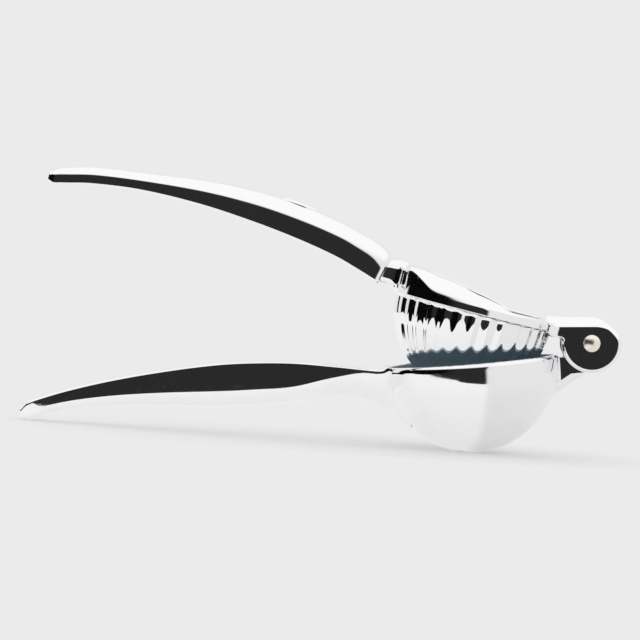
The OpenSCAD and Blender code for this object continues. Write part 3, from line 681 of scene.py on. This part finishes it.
# %% The strainer cup
CUP_WALL, CUP_BELOW, CUP_DEPTH, CUP_FLOOR, CUP_GAP = 0.8, 0.3, 28.5, 1.0, 0.1
SIEVE_R, SIEVE_PITCH, SIEVE_RINGS = 1.1, 4.2, [1, 6, 12, 18]

def cup_grid():
    """Rows from the middle of the underside, up the outside, round the edge and down the inside."""
    outer = BOWL_R - BOWL_WALL - CUP_GAP
    inner = outer - CUP_WALL
    top, edge = RIM_RISE - CUP_BELOW, CUP_WALL / 2
    out_floor, in_floor = -CUP_DEPTH - CUP_FLOOR, -CUP_DEPTH
    out_end, in_end = math.asin(-out_floor / outer), math.asin(-in_floor / inner)
    path = [(outer * math.cos(out_end) * s, out_floor) for s in (0.05, 0.4, 0.8, 0.98)]
    path += [(outer * math.cos(a), -outer * math.sin(a)) for a in np.linspace(out_end, 0, 30)]
    path += [(inner + edge + edge * math.cos(b), top - edge + edge * math.sin(b))
             for b in arc(13, 0, 180)]
    path += [(inner * math.cos(a), -inner * math.sin(a)) for a in np.linspace(0, in_end, 30)]
    path += [(inner * math.cos(in_end) * s, in_floor) for s in (0.98, 0.8, 0.4, 0.05)]
    r, z = np.array(path).T[:, :, None]
    angle = full_turn(256)
    return np.stack([r * np.cos(angle), r * np.sin(angle), z + 0 * angle], axis=-1) + BOWL_AT

cup = mesh_piece("strainer", [skin(stand(cup_grid(), LOWER_TILT))])
sieve_spots = [(SIEVE_PITCH * k * math.cos(a), SIEVE_PITCH * k * math.sin(a))
               for k, n in enumerate(SIEVE_RINGS) for a in [2 * math.pi * j / n for j in range(n)]]
bored(cup, [drill(s, SIEVE_R, -CUP_DEPTH - CUP_FLOOR - 1, -CUP_DEPTH + 1, columns=20) for s in sieve_spots])
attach(cup, "lower")
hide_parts("strainer_cup")
report(cup)

# %% [markdown]
# ## The pin and the badge plate
# The pin is a turned rivet: a plain shank between two low domed heads, as the tool that set it left them.
# The badge plate is a blank oval let into the crown of the upper handle. Its edge is rolled over and its
# face is slightly domed, as a pressed plate is.

# %% The pin and the badge plate
HEAD_R, HEAD_H, HEAD_RIM = 3.4, 1.2, 0.06

def pin_grid():
    """Profile [radius, distance from the middle] of one head, mirrored for the other, turned about the axis.
    A head is a cap of a sphere of radius (HEAD_R^2 + HEAD_H^2) / (2 HEAD_H)."""
    ball = (HEAD_R**2 + HEAD_H**2) / (2 * HEAD_H)
    path = [(ball * math.sin(a), FORK_OUT + HEAD_H - ball * (1 - math.cos(a)))
            for a in np.linspace(0.01, 0.985, 24) * math.asin(HEAD_R / ball)]
    path += [(HEAD_R, FORK_OUT + HEAD_RIM), (HEAD_R, FORK_OUT), (PIN_R, FORK_OUT - 0.01),
             (PIN_R, FORK_OUT - 0.3)]
    path = np.array(path + [(r, -y) for r, y in reversed(path)])
    return about_pin(path[:, :1], path[:, 1:], full_turn(72))

pin = mesh_piece("rivet", [skin(stand(pin_grid(), UPPER_TILT))])
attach(pin, "upper")
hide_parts("hinge_pin")
report(pin)

BADGE_L, BADGE_W, BADGE_T, BADGE_PROUD, BADGE_REACH = 16.4, 8.6, 1.9, 0.9, 125.6
BADGE_ROLL, ROLL_POWER = 1.35, 1.5

def badge_grid():
    """Ovals from the underside up the rolled edge to the domed face, laid on the crown's slope."""
    span = UPPER_REACH - UPPER_START
    share, run = (BADGE_REACH - UPPER_START) / span, BADGE_L / 2 / span
    crown, ahead, behind = (along(UPPER_HANDLE, np.array([v]), 2)[0]
                            for v in (share, share - run, share + run))
    slope = math.atan2(behind - ahead, BADGE_L)
    low, side_top = BADGE_PROUD - BADGE_T, BADGE_PROUD - BADGE_ROLL
    steps = [(0.3, low), (0.98, low), (1.0, low + 0.05), (1.0, side_top)]
    steps += [(math.cos(a), side_top + (BADGE_PROUD - side_top) * (1 - (1 - math.sin(a)) ** ROLL_POWER))
              for a in arc(18, 4, 87)]
    scale, z = np.array(steps).T[:, :, None]
    angle = full_turn(120)
    x, y = scale * BADGE_L / 2 * np.cos(angle), scale * BADGE_W / 2 * np.sin(angle)
    return np.stack([-BADGE_REACH + x * math.cos(slope) + z * math.sin(slope), y,
                     crown - x * math.sin(slope) + z * math.cos(slope)], axis=-1)

badge = mesh_piece("blank_badge", [skin(stand(badge_grid(), UPPER_TILT))])
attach(badge, "upper")
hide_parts("badge_plate")
report(badge)

# %% [markdown]
# ## A small language for materials
# A material is a graph of nodes. One small class wraps a socket, so that Python's own signs make the
# Math nodes: noise * 0.5 + 0.2 adds two of them.

# %% Sockets as numbers
class Value:
    """Wraps a node's output socket. Each sign makes a Math node; a number may stand right of it."""
    def __init__(self, shader, socket):
        self.shader, self.socket = shader, socket

    def math(self, operation, *others):
        return self.shader.node("ShaderNodeMath", {"operation": operation}, dict(enumerate((self,) + others)))

    def __add__(self, other): return self.math("ADD", other)
    def __mul__(self, other): return self.math("MULTIPLY", other)
    def __sub__(self, other): return self.math("SUBTRACT", other)
    def __truediv__(self, other): return self.math("DIVIDE", other)
    def __pow__(self, other): return self.math("POWER", other)

    def ramp(self, low, high, to_low=0.0, to_high=1.0):
        """Smoothly from to_low to to_high while the value goes from low to high."""
        return self.shader.node("ShaderNodeMapRange", {"interpolation_type": "SMOOTHSTEP"},
                                {"Value": self, "From Min": low, "From Max": high, "To Min": to_low,
                                 "To Max": to_high})

class Shader:
    """Makes nodes in one node tree. node() takes a type, its settings, then values or links of its inputs."""
    def __init__(self, tree):
        self.tree = tree
        tree.nodes.clear()

    def node(self, kind, settings=None, inputs=None, output=0):
        made = self.tree.nodes.new(kind)
        for key, value in (settings or {}).items():
            setattr(made, key, value)
        for key, value in (inputs or {}).items():
            if isinstance(value, Value):
                self.tree.links.new(value.socket, made.inputs[key])
            else:
                made.inputs[key].default_value = value
        return Value(self, made.outputs[output])

    def parts(self, kind, names, inputs=None):
        """Several outputs of one node, by their names."""
        made = self.node(kind, {}, inputs).socket.node
        return [Value(self, made.outputs[name]) for name in names]

    def show(self, surface, kind="ShaderNodeOutputMaterial"):
        """Joins a surface to the tree's output."""
        self.tree.links.new(surface.socket, self.tree.nodes.new(kind).inputs["Surface"])

    def mix(self, factor, a, b):
        """Colour from a to b by factor. A Mix node's colour sockets go by their numbers."""
        return self.node("ShaderNodeMix", {"data_type": "RGBA"}, {0: factor, 6: a, 7: b}, output=2)

    def noise(self, where, scale, detail=2.0, rough=0.5):
        return self.node("ShaderNodeTexNoise", {}, {"Vector": where, "Scale": scale, "Detail": detail,
                                                    "Roughness": rough})

    def stretched(self, where, scale, turn=(0, 0, 0)):
        """The same place with each axis scaled, after a turn: long thin patterns such as polishing lines."""
        return self.node("ShaderNodeMapping", {"vector_type": "POINT"},
                         {"Vector": where, "Scale": scale, "Rotation": turn})

    def bump(self, height, strength, distance, normal=None):
        inputs = {"Height": height, "Strength": strength, "Distance": distance}
        if normal is not None:
            inputs["Normal"] = normal
        return self.node("ShaderNodeBump", {}, inputs)

def material(name):
    """A new material, the Shader of its nodes, and a point's place on the object in metres."""
    made = bpy.data.materials.new(name)
    made.use_nodes = True
    shader = Shader(made.node_tree)
    return made, shader, shader.node("ShaderNodeTexCoord", output="Object")

def finish(shader, **inputs):
    """Principled surface with the given sockets, joined to the material's output."""
    sockets = {key.replace("_", " "): value for key, value in inputs.items()}
    shader.show(shader.node("ShaderNodeBsdfPrincipled", {}, sockets))

# %% [markdown]
# ## Chrome
# Polished chrome is almost a mirror. The casting under it is not quite even, so reflections waver a
# little; the polishing wheel leaves very fine lines; and handling leaves faint dull patches and a few hair
# scratches. All of that is in the bump and the roughness. Scales are in waves per metre.

# %% Chrome
def chrome(name, tint, roughness=0.035, waver=0.35):
    made, s, where = material(name)
    uneven = s.noise(where, 70.0, 1.0)
    smear = s.noise(where, 45.0, 4.0, 0.6)
    lines = s.noise(s.stretched(where, (60.0, 2600.0, 2600.0)), 1.0, 2.0)
    hair = s.noise(s.stretched(where, (300.0, 7000.0, 900.0), (0.3, 0.5, 0.9)), 1.0, 0.0)
    scratch = hair.ramp(0.70, 0.74)
    dull = smear.ramp(0.52, 0.75)
    rough = dull * 0.03 + lines * 0.012 + scratch * 0.03 + roughness
    color = s.mix(dull * 0.5 + scratch * 0.3, (*tint, 1), (*(0.93 * c for c in tint), 1))
    wave = s.bump(uneven, 0.05 * waver, 0.002)
    fine = s.bump(lines * 0.4 + scratch * -0.1, 0.05, 0.00002, wave)
    finish(s, Base_Color=color, Roughness=rough, Metallic=1.0, Normal=fine)
    return made

CHROME = chrome("polished chrome", (0.955, 0.957, 0.965))
PLATE = chrome("pressed chrome plate", (0.95, 0.95, 0.955), 0.05, 0.2)
NICKEL = chrome("nickel", (0.93, 0.88, 0.79), 0.25, 0.6)
for piece, finish_of in ((upper_arm, CHROME), (lower_arm, CHROME), (badge, PLATE), (pin, NICKEL)):
    piece.data.materials.clear()
    piece.data.materials.append(finish_of)
print("metal finishes:", [m.name for m in (CHROME, PLATE, NICKEL)])

# %% [markdown]
# ## Plastics
# The cup is moulded in blue-grey plastic with a fine satin grain and faint scuffs from pips and washing.
# The washers are plain white nylon, slightly mottled and rubbed where they turn.

# %% Plastics
def plastic(name, tint, worn, roughness, grain):
    made, s, where = material(name)
    cloud = s.noise(where, 90.0, 3.0)
    fine = s.noise(where, 2600.0, 2.0)
    scuff = s.noise(s.stretched(where, (500.0, 500.0, 4000.0), (0.2, 0.4, 0.0)), 1.0, 1.0).ramp(0.66, 0.74)
    color = s.mix(cloud.ramp(0.35, 0.75) * 0.5 + scuff * 0.35, (*tint, 1), (*worn, 1))
    rough = cloud * 0.12 + scuff * 0.1 + roughness
    finish(s, Base_Color=color, Roughness=rough, Normal=s.bump(fine + scuff * -0.6, grain, 0.00005))
    return made

BLUE_GREY = plastic("blue-grey plastic", (0.30, 0.40, 0.47), (0.36, 0.46, 0.53), 0.3, 0.3)
NYLON = plastic("white nylon", (0.80, 0.80, 0.77), (0.72, 0.71, 0.67), 0.45, 0.25)
cup.data.materials.clear()
cup.data.materials.append(BLUE_GREY)
for node in ("washer_front", "washer_back"):
    for slot in frame["nodes"][node].material_slots:
        slot.material = NYLON
print("plastics:", BLUE_GREY.name, NYLON.name)

# %% [markdown]
# ## The studio
# Chrome shows its surroundings, so the studio is most of its look: a white table under the tool, pale
# walls, a white ceiling, and a dark room on the camera's side. The world holds all but the table. The
# camera itself sees one even pale grey, in which the table vanishes but for the tool's soft shadow.

# %% The studio
# Levels of light. The dark room goes from CARD at its sides to ROOM straight in front, along FORWARD.
BACKDROP, CEILING, PALE, ROOM, CARD, FORWARD = 0.831, 1.0, 0.82, 0.022, 0.002, (0.72, 0.96)
# Degrees: the room's middle and half width (full, ended), and where room and walls meet the ceiling
ROOM_TOWARD, ROOM_FULL, ROOM_END, ROOM_TOP, PALE_TOP = -138.5, 64, 69, (26, 34), (20, 45)
SOFT_BELOW, SOFT_ABOVE = 0.6, 1.35

def studio():
    """One even grey for the camera, walls, ceiling and room for the chrome, soft light for the rest."""
    world = bpy.data.worlds.new("studio")
    bpy.context.scene.world = world
    world.use_nodes = True
    s = Shader(world.node_tree)
    x, y, z = s.parts("ShaderNodeSeparateXYZ", "XYZ", {0: s.node("ShaderNodeTexCoord", output="Generated")})
    rise = z.math("ARCSINE") * (180 / math.pi)
    level_length = (x * x + y * y) ** 0.5
    middle = math.radians(ROOM_TOWARD)
    toward = (x * math.cos(middle) + y * math.sin(middle)) / level_length
    dark_side = toward.ramp(math.cos(math.radians(ROOM_END)), math.cos(math.radians(ROOM_FULL)))
    below_ceiling = rise.ramp(*ROOM_TOP, 1.0, 0.0)
    room = (y * -1 / level_length).ramp(*FORWARD, CARD, ROOM)
    pale = rise.ramp(*PALE_TOP, PALE, CEILING)
    mirrored = dark_side * below_ceiling * (room - pale) + pale
    soft = z.ramp(-1.0, 1.0, SOFT_BELOW, SOFT_ABOVE)
    camera_ray, glossy = s.parts("ShaderNodeLightPath", ("Is Camera Ray", "Is Glossy Ray"))
    level = glossy * (mirrored - soft) + soft
    level = camera_ray * (level * -1 + BACKDROP) + level
    gray = s.node("ShaderNodeCombineColor", {}, {"Red": level, "Green": level, "Blue": level})
    s.show(s.node("ShaderNodeBackground", {}, {"Color": gray, "Strength": 1.0}), "ShaderNodeOutputWorld")

# The table in metres: ends, far edge, gap under the tool, and two places of its front edge
TABLE_X, TABLE_FAR, TABLE_SINK = (-0.6, 0.45), 0.7, 0.00005
FRONT_X, FRONT_Y = [-0.19, -0.10], [-0.06, -0.25]
# The shadow's ellipse: middle, half axes, the share at which it starts to fade, and its strength
PATCH_BACK, PATCH_X, PATCH_Y, PATCH_FULL, SHADOW_SHARE = 0.07, 0.2, 0.1, 0.65, 0.55
# Diffuse white, and the table's level in the chrome on both sides of a line, its slope and softness. Right of
# the line the level is painted shade
WHITE, SHINE_LEFT, PAINTED_SHADE_RIGHT, LINE_SLOPE, LINE_SOFT, GLOSSY_SHARE = 0.67, 0.96, 0.8, 0.325, 0.004, 0.7

def table():
    """A flat sheet that ends a short way in front of the tool, closer at the handles' tips, so that the
    lower handle's side mirrors the dark room there. Far away it shows the even pale grey, and near the tool
    a diffuse white that takes its shadow. In the chrome it glows darker right of a line forward of the bowl,
    which is painted shade."""
    x, share = np.meshgrid(np.linspace(*TABLE_X, 36), np.linspace(0, 1, 9))
    front = np.interp(x, FRONT_X, FRONT_Y)
    y = front + (TABLE_FAR - front) * share
    mesh = bpy.data.meshes.new("table")
    k = np.arange(x.size).reshape(x.shape)
    quads = np.stack([k[:-1, :-1], k[:-1, 1:], k[1:, 1:], k[1:, :-1]], axis=-1).reshape(-1, 4)
    points = np.stack([x, y, 0 * x - TABLE_SINK], axis=-1).reshape(-1, 3)
    mesh.from_pydata(points.tolist(), [], quads.tolist())
    top = bpy.data.objects.new("table", mesh)
    bpy.context.scene.collection.objects.link(top)
    made, s, where = material("white table")
    px, py, _ = s.parts("ShaderNodeSeparateXYZ", "XYZ", {0: where})
    far = (((px + PATCH_BACK) / PATCH_X) ** 2 + (py / PATCH_Y) ** 2) ** 0.5
    near = far.ramp(PATCH_FULL, 1.0, 1.0, 0.0)
    camera_ray, glossy = s.parts("ShaderNodeLightPath", ("Is Camera Ray", "Is Glossy Ray"))
    white = s.node("ShaderNodeBsdfDiffuse", {}, {"Color": (WHITE, WHITE, WHITE, 1)})
    # Painted shade: the table's glow in the chrome is lower right of a line forward of the bowl, so the
    # chrome mirrors a darker patch there
    painted_split_level = (py * LINE_SLOPE + px).ramp(-LINE_SOFT, LINE_SOFT, SHINE_LEFT, PAINTED_SHADE_RIGHT)
    even = s.node("ShaderNodeEmission", {}, {"Color": (1, 1, 1, 1),
                                             "Strength": camera_ray * (painted_split_level * -1 + BACKDROP) + painted_split_level})
    share = camera_ray * (near * -SHADOW_SHARE + 1) + glossy * GLOSSY_SHARE
    s.show(s.node("ShaderNodeMixShader", {}, {0: share, 1: white, 2: even}))
    mesh.materials.append(made)

studio()
table()
bpy.context.scene.view_settings.view_transform = "Standard"
print("studio ready")
